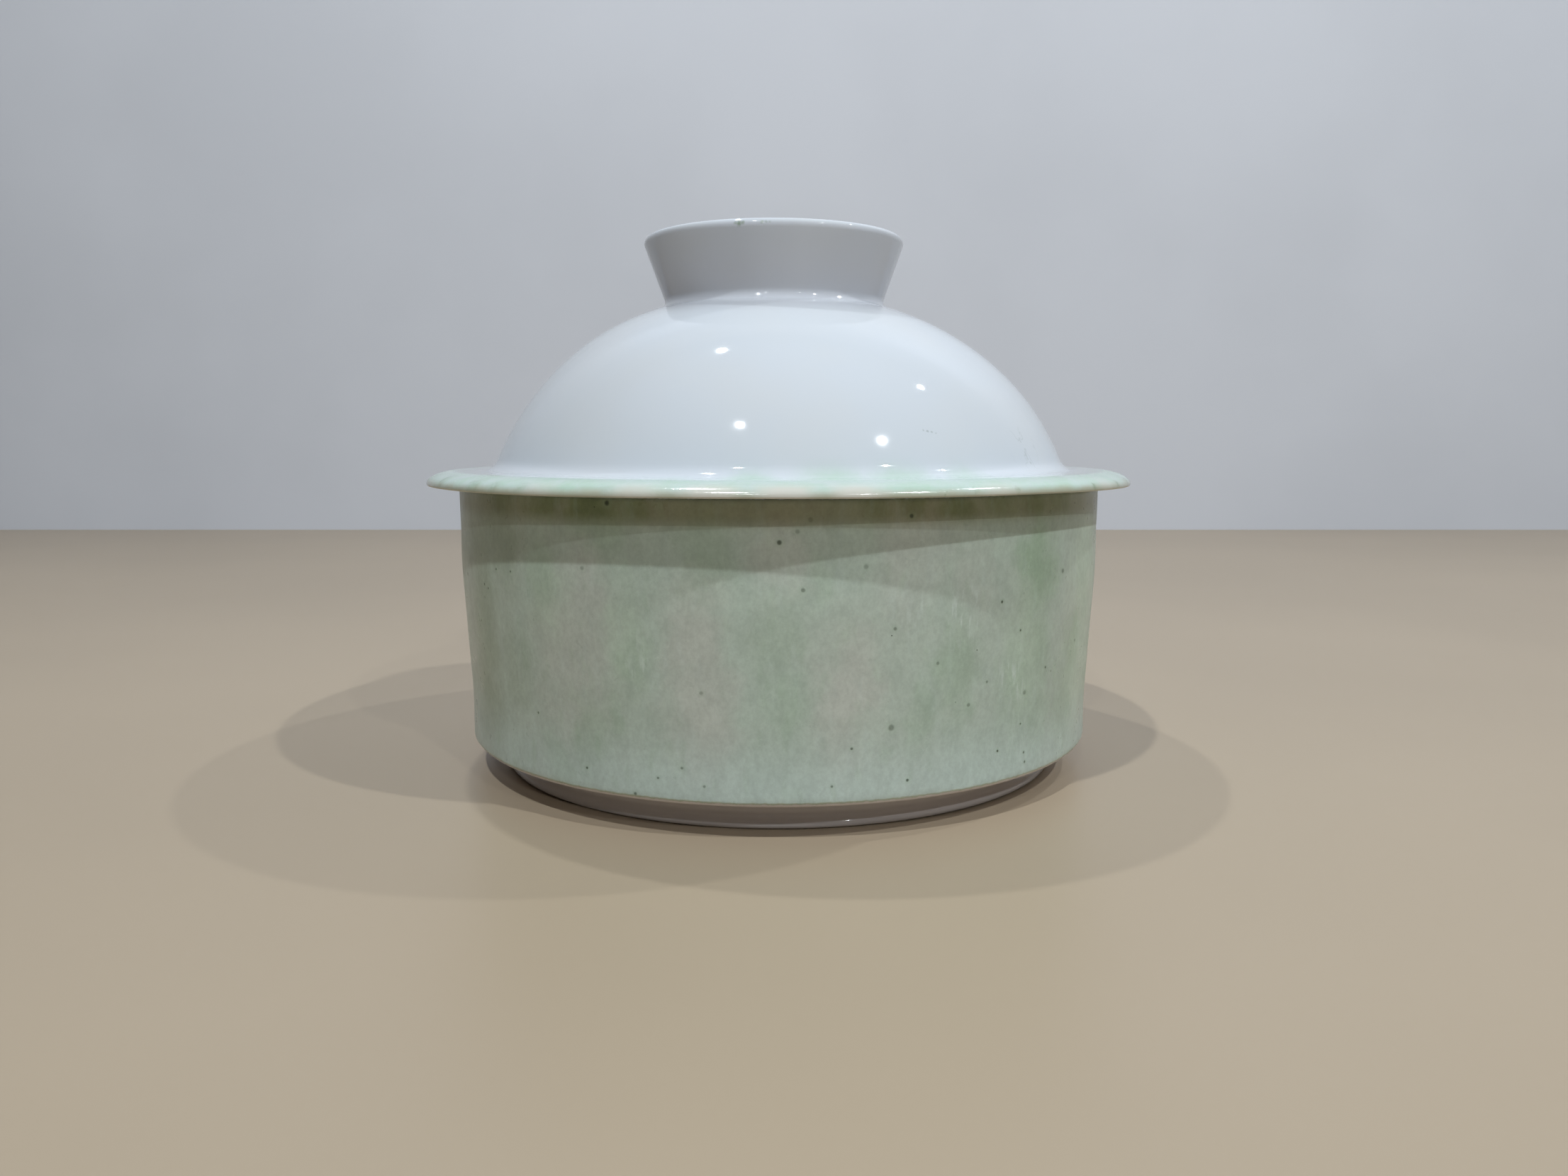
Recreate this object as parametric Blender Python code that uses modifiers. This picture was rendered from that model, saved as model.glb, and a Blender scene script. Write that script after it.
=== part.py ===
"""Covered rice bowl: a straight-sided porcelain bowl and its domed lid with a ring grip.

Units are metres, +Z is up.  The origin lies on the common axis, in the plane the foot stands on.
Both pieces are turned: an outline in the XZ plane is swept about Z by a Screw modifier.
"""

from math import asin, atan2, cos, degrees, hypot, radians, sin, sqrt

import bpy

# ---- Driving dimensions ------------------------------------------------------------------

COLLECTION_NAME = "rice_bowl"
TURN_STEPS = 64                     # facets round the axis, a multiple of four
FIT_GAP = 0.0003                    # air between the bowl's rim and the flange that rests on it

# Bowl
UPPER_RADIUS = 0.09135              # outside of the wall near the rim
LOWER_RADIUS = 0.08945              # outside of the wall near the base
TAPER_BOTTOM = 0.0150               # height where the narrow stretch ends
TAPER_TOP = 0.0620                  # height where the wide stretch begins
TAPER_STEPS = 5
BOWL_WALL = 0.0040
RIM_HEIGHT = 0.0790
RIM_ROUND = 0.0012                  # both edges of the rim
CORNER_ROUND = 0.0015               # outer edge between the wall and the underside
UNDERSIDE_HEIGHT = 0.0081           # ledge between the wall and the foot ring
FLOOR_HEIGHT = 0.0130
FLOOR_FILLET = 0.0080

# Foot ring of the bowl
FOOT_RADIUS = 0.0803                # widest point of the bead at its lower edge
FOOT_BEAD = 0.0012
FOOT_WALL_RADIUS = 0.0789           # upright stretch above the bead
FOOT_HOLLOW = 0.0030                # radius of the hollow that runs out into the bead
FOOT_FILLET = 0.0015
FOOT_INNER_RADIUS = 0.0750
FOOT_INNER_ROUND = 0.0010
RECESS_HEIGHT = 0.0080              # ceiling of the space inside the foot ring

# Lid
FLANGE_RADIUS = 0.1000
FLANGE_THICKNESS = 0.0038
FLANGE_EDGE_RUN = 0.0080            # width over which its top rolls down to the edge
FLANGE_EDGE_ROUND = 0.0005          # lower corner of the edge
FLANGE_FILLET = 0.0050              # between the flange and the dome
DOME_RADIUS = 0.07451               # the dome's arc, in section
DOME_CENTRE = (0.01223, 0.05716)    # centre of that arc: distance from the axis, height
LID_WALL = 0.0040
LIP_RADIUS = 0.0852                 # outside of the lip that hangs into the bowl's mouth
LIP_DEPTH = 0.0050
LIP_ROUND = 0.0015
LIP_FILLET = 0.0010

# Ring grip of the lid
GRIP_HEIGHT = 0.1486
GRIP_RADIUS = 0.0372                # widest point of its rolled edge
GRIP_OUTER_ROUND = 0.0018           # outer round of that edge
GRIP_INNER_ROUND = 0.0012           # inner round of that edge
GRIP_LAND = 0.0004                  # flat between them, on which the upturned lid stands
GRIP_OUTER_LEAN = 20.0              # lean of the outer side, in degrees from upright
GRIP_INNER_LEAN = 24.0              # lean of the inner side
GRIP_FILLET = 0.0022                # between the ring and the dome
CROWN_FILLET = 0.0030               # between the ring and the crown inside it

# Worked out from the dimensions above
FLANGE_BOTTOM = RIM_HEIGHT + FIT_GAP
FLANGE_TOP = FLANGE_BOTTOM + FLANGE_THICKNESS
CROWN_HEIGHT = DOME_CENTRE[1] + DOME_RADIUS
INNER_DOME_RADIUS = DOME_RADIUS - LID_WALL


# ---- Outline helpers ---------------------------------------------------------------------

def arc(centre, radius, start, end, steps):
    """Points along an arc; angles are in degrees from +X towards +Z."""
    points = []
    for index in range(steps + 1):
        angle = radians(start + (end - start) * index / steps)
        points.append((centre[0] + radius * cos(angle), centre[1] + radius * sin(angle)))
    return points


def wall_radius(height):
    """Outer radius of the bowl's wall: two upright stretches joined by a gentle taper."""
    share = (height - TAPER_BOTTOM) / (TAPER_TOP - TAPER_BOTTOM)
    share = min(max(share, 0.0), 1.0)
    blend = share * share * (3.0 - 2.0 * share)
    return LOWER_RADIUS + (UPPER_RADIUS - LOWER_RADIUS) * blend


def taper(inset):
    """Points up the tapered stretch of the bowl's wall, set in from its outside."""
    points = []
    for index in range(TAPER_STEPS + 1):
        height = TAPER_BOTTOM + (TAPER_TOP - TAPER_BOTTOM) * index / TAPER_STEPS
        points.append((wall_radius(height) - inset, height))
    return points


def dome_bearing(point):
    """Direction from the centre of the dome's arc to a point, in degrees."""
    return degrees(atan2(point[1] - DOME_CENTRE[1], point[0] - DOME_CENTRE[0]))


def ball_at_height(height, ball):
    """Centre of a ball at a height that touches the dome's arc from outside."""
    reach = DOME_RADIUS + ball
    rise = height - DOME_CENTRE[1]
    return (DOME_CENTRE[0] + sqrt(reach * reach - rise * rise), height)


def ball_on_line(start, normal_angle, ball):
    """Centre of a ball that touches the dome from outside and a straight side of the grip.

    The side starts at a point and runs down, square to its outward normal.
    """
    normal = (cos(radians(normal_angle)), sin(radians(normal_angle)))
    down = (-abs(normal[1]), -abs(normal[0]))
    across = start[0] + ball * normal[0] - DOME_CENTRE[0]
    rise = start[1] + ball * normal[1] - DOME_CENTRE[1]
    reach = DOME_RADIUS + ball
    along = across * down[0] + rise * down[1]
    travel = -along - sqrt(along * along - hypot(across, rise) ** 2 + reach * reach)
    return (DOME_CENTRE[0] + across + travel * down[0], DOME_CENTRE[1] + rise + travel * down[1])


# ---- Outlines ----------------------------------------------------------------------------

def foot_outline():
    """The foot ring, from its root under the ledge round to the recess inside it."""
    root = (FOOT_WALL_RADIUS + FOOT_FILLET, UNDERSIDE_HEIGHT - FOOT_FILLET)
    bead = (FOOT_RADIUS - FOOT_BEAD, FOOT_BEAD)
    across = FOOT_WALL_RADIUS + FOOT_HOLLOW - bead[0]
    rise = sqrt((FOOT_HOLLOW + FOOT_BEAD) ** 2 - across * across)
    hollow = (FOOT_WALL_RADIUS + FOOT_HOLLOW, bead[1] + rise)
    meeting = degrees(atan2(rise, across))
    inner_bead = (FOOT_INNER_RADIUS + FOOT_INNER_ROUND, FOOT_INNER_ROUND)
    ceiling = (FOOT_INNER_RADIUS - FOOT_FILLET, RECESS_HEIGHT - FOOT_FILLET)
    points = arc(root, FOOT_FILLET, 90.0, 180.0, 3)
    points += arc(hollow, FOOT_HOLLOW, 180.0, 180.0 + meeting, 3)[:-1]
    points += arc(bead, FOOT_BEAD, meeting, -90.0, 5)
    points += arc(inner_bead, FOOT_INNER_ROUND, -90.0, -180.0, 2)
    points += arc(ceiling, FOOT_FILLET, 0.0, 90.0, 2)
    return points


def bowl_outline():
    """From the middle of the floor, up inside, over the rim, down outside and under."""
    fillet = (wall_radius(FLOOR_HEIGHT) - BOWL_WALL - FLOOR_FILLET, FLOOR_HEIGHT + FLOOR_FILLET)
    rim_inside = (UPPER_RADIUS - BOWL_WALL + RIM_ROUND, RIM_HEIGHT - RIM_ROUND)
    rim_outside = (UPPER_RADIUS - RIM_ROUND, RIM_HEIGHT - RIM_ROUND)
    corner = (LOWER_RADIUS - CORNER_ROUND, UNDERSIDE_HEIGHT + CORNER_ROUND)
    points = [(0.0, FLOOR_HEIGHT)]
    points += arc(fillet, FLOOR_FILLET, -90.0, 0.0, 5)
    points += taper(BOWL_WALL)[1:]
    points += arc(rim_inside, RIM_ROUND, 180.0, 90.0, 2)
    points += arc(rim_outside, RIM_ROUND, 90.0, 0.0, 2)
    points += reversed(taper(0.0))
    points += arc(corner, CORNER_ROUND, 0.0, -90.0, 3)
    points += foot_outline()
    points += [(0.0, RECESS_HEIGHT)]
    return points


def grip_outline():
    """The crown inside the ring grip, up its inner side, over its edge and down outside."""
    inner_normal = 180.0 - GRIP_INNER_LEAN
    outer_normal = -GRIP_OUTER_LEAN
    outer_edge = (GRIP_RADIUS - GRIP_OUTER_ROUND, GRIP_HEIGHT - GRIP_OUTER_ROUND)
    inner_edge = (outer_edge[0] - GRIP_LAND, GRIP_HEIGHT - GRIP_INNER_ROUND)
    inner_round = arc(inner_edge, GRIP_INNER_ROUND, inner_normal, 90.0, 3)
    outer_round = arc(outer_edge, GRIP_OUTER_ROUND, 90.0, outer_normal, 4)
    inner_ball = ball_on_line(inner_round[0], inner_normal, CROWN_FILLET)
    outer_ball = ball_on_line(outer_round[-1], outer_normal, GRIP_FILLET)
    inner_bearing = dome_bearing(inner_ball)
    outer_bearing = dome_bearing(outer_ball)
    points = [(0.0, CROWN_HEIGHT)]
    points += arc(DOME_CENTRE, DOME_RADIUS, 90.0, inner_bearing, 2)
    points += arc(inner_ball, CROWN_FILLET, inner_bearing + 180.0, inner_normal + 180.0, 3)[1:]
    points += inner_round + outer_round
    points += arc(outer_ball, GRIP_FILLET, outer_normal + 180.0, outer_bearing + 180.0, 4)
    return points, outer_bearing


def flange_edge():
    """The flange's edge: a long roll from its flat top down to a small lower corner."""
    widest = FLANGE_BOTTOM + FLANGE_EDGE_ROUND
    drop = FLANGE_TOP - widest
    points = []
    for angle in (90.0, 70.0, 52.0, 36.0, 22.0, 10.0):
        across = FLANGE_EDGE_RUN * cos(radians(angle))
        points.append((FLANGE_RADIUS - FLANGE_EDGE_RUN + across, widest + drop * sin(radians(angle))))
    points += arc((FLANGE_RADIUS - FLANGE_EDGE_ROUND, widest), FLANGE_EDGE_ROUND, 0.0, -90.0, 2)
    return points


def lid_outline():
    """From the middle of the crown, down outside, round the flange and up inside."""
    flange_ball = ball_at_height(FLANGE_TOP + FLANGE_FILLET, FLANGE_FILLET)
    flange_bearing = dome_bearing(flange_ball)
    lip_bottom = FLANGE_BOTTOM - LIP_DEPTH
    lip_root = (LIP_RADIUS + LIP_FILLET, FLANGE_BOTTOM - LIP_FILLET)
    lip_edge = (LIP_RADIUS - LIP_ROUND, lip_bottom + LIP_ROUND)
    reach = INNER_DOME_RADIUS + LIP_ROUND
    inner_bearing = degrees(asin((lip_edge[1] - DOME_CENTRE[1]) / reach))
    inner_edge = (DOME_CENTRE[0] + reach * cos(radians(inner_bearing)), lip_edge[1])
    points, dome_start = grip_outline()
    points += arc(DOME_CENTRE, DOME_RADIUS, dome_start, flange_bearing, 8)[1:]
    points += arc(flange_ball, FLANGE_FILLET, flange_bearing + 180.0, 270.0, 3)[1:]
    points += flange_edge()
    points += arc(lip_root, LIP_FILLET, 90.0, 180.0, 2)
    points += arc(lip_edge, LIP_ROUND, 0.0, -90.0, 2)
    points += arc(inner_edge, LIP_ROUND, 270.0, inner_bearing + 180.0, 2)
    points += arc(DOME_CENTRE, INNER_DOME_RADIUS, inner_bearing, 90.0, 9)[1:]
    points += [(0.0, DOME_CENTRE[1] + INNER_DOME_RADIUS)]
    return points


# ---- Objects -----------------------------------------------------------------------------

def clear_scene():
    """Remove whatever the scene starts with."""
    for item in list(bpy.data.objects):
        bpy.data.objects.remove(item, do_unlink=True)


def make_collection(name):
    """A collection linked to the scene."""
    collection = bpy.data.collections.new(name)
    bpy.context.scene.collection.children.link(collection)
    return collection


def glaze(name, colour, roughness):
    """A fired glaze: a glossy dielectric."""
    material = bpy.data.materials.new(name)
    material.use_nodes = True
    shader = material.node_tree.nodes["Principled BSDF"]
    shader.inputs["Base Color"].default_value = (*colour, 1.0)
    shader.inputs["Roughness"].default_value = roughness
    shader.inputs["Metallic"].default_value = 0.0
    return material


def turned(name, outline, material, collection):
    """A piece swept about Z from its outline."""
    corners = [(radius, 0.0, height) for radius, height in outline]
    edges = [(index, index + 1) for index in range(len(corners) - 1)]
    mesh = bpy.data.meshes.new(name)
    mesh.from_pydata(corners, edges, [])
    mesh.materials.append(material)
    piece = bpy.data.objects.new(name, mesh)
    collection.objects.link(piece)
    screw = piece.modifiers.new("turn", "SCREW")
    screw.axis = "Z"
    screw.angle = radians(360.0)
    screw.steps = TURN_STEPS
    screw.render_steps = TURN_STEPS
    screw.use_merge_vertices = True
    screw.merge_threshold = 0.00001
    screw.use_smooth_shade = True
    return piece


def make_bowl(collection):
    """The bowl with its foot ring, one piece of porcelain."""
    material = glaze("green_glaze", (0.33, 0.40, 0.31), 0.35)
    return turned("bowl", bowl_outline(), material, collection)


def make_lid(collection):
    """The lid: ring grip, dome, flange and locating lip, one piece of porcelain.

    Its origin is on the axis it lifts along.
    """
    material = glaze("white_glaze", (0.78, 0.82, 0.84), 0.12)
    return turned("lid", lid_outline(), material, collection)


def main():
    """Build the covered bowl."""
    clear_scene()
    collection = make_collection(COLLECTION_NAME)
    make_bowl(collection)
    make_lid(collection)


main()
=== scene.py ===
"""Looks of the covered rice bowl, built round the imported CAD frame.

Both pieces are turned again with a fine surface, get a potter's small unevenness, and carry
procedural glazes.  Units are metres, +Z is up, and the frame's axis is the axis of both pieces.
"""

from math import asin, atan2, cos, degrees, hypot, pi, radians, sin, sqrt

import bpy
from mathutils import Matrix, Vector


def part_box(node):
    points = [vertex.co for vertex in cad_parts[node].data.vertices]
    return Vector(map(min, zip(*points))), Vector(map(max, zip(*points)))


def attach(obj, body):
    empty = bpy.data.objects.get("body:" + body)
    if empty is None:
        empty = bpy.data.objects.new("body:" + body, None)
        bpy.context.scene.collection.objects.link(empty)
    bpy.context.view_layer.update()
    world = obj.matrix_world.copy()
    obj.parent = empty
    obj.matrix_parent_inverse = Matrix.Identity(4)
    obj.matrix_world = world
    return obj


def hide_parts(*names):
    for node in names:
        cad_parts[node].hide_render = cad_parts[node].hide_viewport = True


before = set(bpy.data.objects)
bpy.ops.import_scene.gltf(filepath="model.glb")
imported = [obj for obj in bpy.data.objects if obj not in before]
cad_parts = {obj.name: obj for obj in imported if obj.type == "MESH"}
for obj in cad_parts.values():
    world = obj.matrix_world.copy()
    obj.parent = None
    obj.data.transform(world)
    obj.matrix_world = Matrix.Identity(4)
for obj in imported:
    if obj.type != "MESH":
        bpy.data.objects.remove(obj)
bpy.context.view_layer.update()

BOWL_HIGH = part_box("bowl")[1]
LID_LOW, LID_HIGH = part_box("lid")
MM = 0.001

# ---- Sizes, from the frame and from the CAD outlines ----------------------------------------

SEGMENTS = 288                      # facets round the axis, a multiple of four
GAP = 1.3 * MM                      # longest step along an outline
FLANGE_EDGE_STEPS = 20

# Bowl
UPPER_RADIUS = BOWL_HIGH.x
LOWER_RADIUS = UPPER_RADIUS - 1.9 * MM
TAPER_BOTTOM = 15.0 * MM
TAPER_TOP = 62.0 * MM
BOWL_WALL = 4.0 * MM
RIM_HEIGHT = BOWL_HIGH.z
RIM_ROUND = 1.2 * MM
CORNER_ROUND = 1.5 * MM
UNDERSIDE_HEIGHT = 8.1 * MM
FLOOR_HEIGHT = 13.0 * MM
FLOOR_FILLET = 8.0 * MM
FOOT_RADIUS = 80.3 * MM
FOOT_BEAD = 1.2 * MM
FOOT_WALL_RADIUS = 78.9 * MM
FOOT_HOLLOW = 3.0 * MM
FOOT_FILLET = 1.5 * MM
FOOT_INNER_RADIUS = 75.0 * MM
FOOT_INNER_ROUND = 1.0 * MM
RECESS_HEIGHT = 8.0 * MM

# Lid
FLANGE_RADIUS = LID_HIGH.x
FLANGE_THICKNESS = 3.8 * MM
FLANGE_EDGE_RUN = 8.0 * MM
FLANGE_EDGE_ROUND = 0.5 * MM
FLANGE_FILLET = 5.0 * MM
DOME_RADIUS = 74.51 * MM
DOME_CENTRE = (12.23 * MM, 57.16 * MM)
LID_WALL = 4.0 * MM
LIP_RADIUS = 85.2 * MM
LIP_DEPTH = 5.0 * MM
LIP_ROUND = 1.5 * MM
LIP_FILLET = 1.0 * MM
GRIP_HEIGHT = LID_HIGH.z
GRIP_RADIUS = 37.2 * MM
GRIP_OUTER_ROUND = 1.8 * MM
GRIP_INNER_ROUND = 1.2 * MM
GRIP_LAND = 0.4 * MM
GRIP_OUTER_LEAN = 20.0
GRIP_INNER_LEAN = 24.0
GRIP_FILLET = 2.2 * MM
CROWN_FILLET = 3.0 * MM

FLANGE_BOTTOM = LID_LOW.z + LIP_DEPTH
FLANGE_TOP = FLANGE_BOTTOM + FLANGE_THICKNESS
CROWN_HEIGHT = DOME_CENTRE[1] + DOME_RADIUS
INNER_DOME_RADIUS = DOME_RADIUS - LID_WALL

# The green glaze stands a little proud of the white body and stops in a rolled edge
GLAZE_THICKNESS = 0.14 * MM
GLAZE_LINE = 9.1 * MM               # height of its lower edge, on the corner under the wall
GLAZE_LINE_WAVE = 0.25 * MM
GLAZE_ROLL = (-0.2 * MM, 0.5 * MM)  # from the line, the heights over which the edge swells
GLAZE_INSIDE_RADIUS = 88.0 * MM     # the green covers only what lies outside this radius
UNGLAZED_RADIUS = GLAZE_INSIDE_RADIUS - 1.0 * MM
GLAZE_TOP = RIM_HEIGHT - 0.15 * MM
GLAZE_FADE = 0.3 * MM               # half of the height over which it thins out at its top

# ---- Unevenness of hand work ----------------------------------------------------------------

FLANGE_WAVE = 0.16 * MM
FLANGE_OUT_OF_ROUND = 0.12 * MM
WALL_WAVE = 0.10 * MM
THROWING_WAVE = 0.05 * MM
GRIP_RUNOUT = 1.4 * MM              # the ring grip sits this far off centre, towards -X
RUNOUT_HEIGHTS = (100.0 * MM, 136.0 * MM)
UNEVEN_FROM = (9.0 * MM, 20.0 * MM)     # heights over which the bowl's unevenness sets in
UNEVEN_TO = (66.0 * MM, 76.0 * MM)      # and dies out, so that rim and foot stay true
UNEVEN_OUTSIDE = 84.0 * MM              # nothing inside this radius is uneven
THROWING_PITCH = 4.1 * MM

PATCH_SQUASH = 0.55                 # width of a patch on the wall, as a share of its height
PATCH_CORE = 0.2                    # share of a patch's radius that has its full strength
NOISE_RANGE = (0.3, 0.7)            # most of what a noise node gives lies in this range

# ---- Camera and light -----------------------------------------------------------------------

CAMERA_DISTANCE = 3.477 * FLANGE_RADIUS
CAMERA_HEIGHT = 0.928 * FLANGE_RADIUS
CAMERA_SIDE = 0.015 * FLANGE_RADIUS
CAMERA_PITCH = 7.44                 # degrees down
CAMERA_LENS = 26.85                 # mm, on a sensor 36 mm wide
SENSOR_WIDTH = 36.0

CEILING = 1.45                      # height of the lamps above the floor
LAMP_COLUMNS = (-0.22, 0.68)        # across, in ceiling heights
LAMP_ROWS = (                       # along, in ceiling heights; size; watts of each lamp
    (0.19, 0.045, (4.2, 4.8)),
    (-0.53, 0.045, (10.3, 11.9)),
    (-1.25, 0.045, (4.6, 6.7)),
    (-1.97, 0.015, (0.6, 0.7)),
)
LAMP_COLOUR = (0.93, 0.98, 1.0)
SURROUND_COLOUR = (0.50, 0.52, 0.56, 1.0)
SURROUND_SIDES = 0.02               # light from the room, level with the object
SURROUND_ABOVE = 0.08               # light from the room, overhead
SURROUND_RISE = (0.30, 0.80)        # sine of the height angle over which it grows brighter
SURROUND_SEEN = 0.80                # brightness of the room where the camera looks into it

FLOOR_DROP = 0.1 * MM
FLOOR_COLOUR = (0.410, 0.330, 0.240)
FLOOR_ROUGHNESS = 0.38
BACKDROP_COLOUR = (0.650, 0.675, 0.745)
BACKDROP_ROUGHNESS = 0.9
BACKDROP_DISTANCE = 0.81
STAGE_HALF_WIDTH = 3.0
STAGE_FRONT = 4.0
STAGE_HEIGHT = 2.2


# ---- Outlines -------------------------------------------------------------------------------

def arc(centre, radius, start, end):
    """Points along an arc; angles are in degrees from +X towards +Z."""
    turn = radians(abs(end - start))
    steps = max(3, round(turn / radians(9.0)), round(turn * radius / GAP))
    points = []
    for index in range(steps + 1):
        angle = radians(start + (end - start) * index / steps)
        points.append((centre[0] + radius * cos(angle), centre[1] + radius * sin(angle)))
    return points


def spread(points):
    """The same outline without repeated points, and with none further apart than the gap."""
    full = [points[0]]
    for point in points[1:]:
        last = full[-1]
        length = hypot(point[0] - last[0], point[1] - last[1])
        if length < 0.02 * MM:
            continue
        steps = max(1, round(length / GAP))
        for index in range(1, steps + 1):
            share = index / steps
            full.append(tuple(a + (b - a) * share for a, b in zip(last, point)))
    return full


def smooth(value, low, high):
    """0 below low, 1 above high, and a smooth run between."""
    share = min(max((value - low) / (high - low), 0.0), 1.0)
    return share * share * (3.0 - 2.0 * share)


def wall_radius(height):
    """Outer radius of the bowl's wall: two upright stretches joined by a gentle taper."""
    widening = smooth(height, TAPER_BOTTOM, TAPER_TOP)
    return LOWER_RADIUS + (UPPER_RADIUS - LOWER_RADIUS) * widening


def taper(inset):
    """Points up the tapered stretch of the bowl's wall, set in from its outside."""
    steps = round((TAPER_TOP - TAPER_BOTTOM) / GAP)
    heights = [TAPER_BOTTOM + (TAPER_TOP - TAPER_BOTTOM) * i / steps for i in range(steps + 1)]
    return [(wall_radius(height) - inset, height) for height in heights]


def dome_bearing(point):
    """Direction from the centre of the dome's arc to a point, in degrees."""
    return degrees(atan2(point[1] - DOME_CENTRE[1], point[0] - DOME_CENTRE[0]))


def ball_at_height(height, ball):
    """Centre of a ball at a height that touches the dome's arc from outside."""
    reach = DOME_RADIUS + ball
    rise = height - DOME_CENTRE[1]
    return (DOME_CENTRE[0] + sqrt(reach * reach - rise * rise), height)


def ball_on_line(start, normal_angle, ball):
    """Centre of a ball that touches the dome from outside and a straight side of the grip.

    The side starts at a point and runs down, square to its outward normal.
    """
    normal = (cos(radians(normal_angle)), sin(radians(normal_angle)))
    down = (-abs(normal[1]), -abs(normal[0]))
    across = start[0] + ball * normal[0] - DOME_CENTRE[0]
    rise = start[1] + ball * normal[1] - DOME_CENTRE[1]
    reach = DOME_RADIUS + ball
    along = across * down[0] + rise * down[1]
    travel = -along - sqrt(along * along - hypot(across, rise) ** 2 + reach * reach)
    return (DOME_CENTRE[0] + across + travel * down[0], DOME_CENTRE[1] + rise + travel * down[1])


def foot_outline():
    """The foot ring, from its root under the ledge round to the recess inside it."""
    root = (FOOT_WALL_RADIUS + FOOT_FILLET, UNDERSIDE_HEIGHT - FOOT_FILLET)
    bead = (FOOT_RADIUS - FOOT_BEAD, FOOT_BEAD)
    across = FOOT_WALL_RADIUS + FOOT_HOLLOW - bead[0]
    rise = sqrt((FOOT_HOLLOW + FOOT_BEAD) ** 2 - across * across)
    hollow = (FOOT_WALL_RADIUS + FOOT_HOLLOW, bead[1] + rise)
    meeting = degrees(atan2(rise, across))
    inner_bead = (FOOT_INNER_RADIUS + FOOT_INNER_ROUND, FOOT_INNER_ROUND)
    ceiling = (FOOT_INNER_RADIUS - FOOT_FILLET, RECESS_HEIGHT - FOOT_FILLET)
    points = arc(root, FOOT_FILLET, 90.0, 180.0)
    points += arc(hollow, FOOT_HOLLOW, 180.0, 180.0 + meeting)
    points += arc(bead, FOOT_BEAD, meeting, -90.0)
    points += arc(inner_bead, FOOT_INNER_ROUND, -90.0, -180.0)
    points += arc(ceiling, FOOT_FILLET, 0.0, 90.0)
    return points


def bowl_outline():
    """From the middle of the floor, up inside, over the rim, down outside and under."""
    fillet = (wall_radius(FLOOR_HEIGHT) - BOWL_WALL - FLOOR_FILLET, FLOOR_HEIGHT + FLOOR_FILLET)
    rim_inside = (UPPER_RADIUS - BOWL_WALL + RIM_ROUND, RIM_HEIGHT - RIM_ROUND)
    rim_outside = (UPPER_RADIUS - RIM_ROUND, RIM_HEIGHT - RIM_ROUND)
    corner = (LOWER_RADIUS - CORNER_ROUND, UNDERSIDE_HEIGHT + CORNER_ROUND)
    points = [(0.0, FLOOR_HEIGHT)]
    points += arc(fillet, FLOOR_FILLET, -90.0, 0.0)
    points += [point for point in taper(BOWL_WALL) if point[1] > fillet[1]]
    points += arc(rim_inside, RIM_ROUND, 180.0, 90.0)
    points += arc(rim_outside, RIM_ROUND, 90.0, 0.0)
    points += reversed(taper(0.0))
    points += arc(corner, CORNER_ROUND, 0.0, -90.0)
    points += foot_outline()
    points += [(0.0, RECESS_HEIGHT)]
    return spread(points)


def grip_outline():
    """The crown inside the ring grip, up its inner side, over its edge and down outside."""
    inner_normal = 180.0 - GRIP_INNER_LEAN
    outer_normal = -GRIP_OUTER_LEAN
    outer_edge = (GRIP_RADIUS - GRIP_OUTER_ROUND, GRIP_HEIGHT - GRIP_OUTER_ROUND)
    inner_edge = (outer_edge[0] - GRIP_LAND, GRIP_HEIGHT - GRIP_INNER_ROUND)
    inner_round = arc(inner_edge, GRIP_INNER_ROUND, inner_normal, 90.0)
    outer_round = arc(outer_edge, GRIP_OUTER_ROUND, 90.0, outer_normal)
    inner_ball = ball_on_line(inner_round[0], inner_normal, CROWN_FILLET)
    outer_ball = ball_on_line(outer_round[-1], outer_normal, GRIP_FILLET)
    inner_bearing = dome_bearing(inner_ball)
    outer_bearing = dome_bearing(outer_ball)
    points = [(0.0, CROWN_HEIGHT)]
    points += arc(DOME_CENTRE, DOME_RADIUS, 90.0, inner_bearing)
    points += arc(inner_ball, CROWN_FILLET, inner_bearing + 180.0, inner_normal + 180.0)
    points += inner_round + outer_round
    points += arc(outer_ball, GRIP_FILLET, outer_normal + 180.0, outer_bearing + 180.0)
    return points, outer_bearing


def flange_edge():
    """The flange's edge: a long roll from its flat top down to a small lower corner."""
    widest = FLANGE_BOTTOM + FLANGE_EDGE_ROUND
    drop = FLANGE_TOP - widest
    points = []
    for step in range(FLANGE_EDGE_STEPS):
        angle = radians(90.0 * (1.0 - step / FLANGE_EDGE_STEPS))
        across = FLANGE_EDGE_RUN * cos(angle)
        points.append((FLANGE_RADIUS - FLANGE_EDGE_RUN + across, widest + drop * sin(angle)))
    points += arc((FLANGE_RADIUS - FLANGE_EDGE_ROUND, widest), FLANGE_EDGE_ROUND, 0.0, -90.0)
    return points


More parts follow.
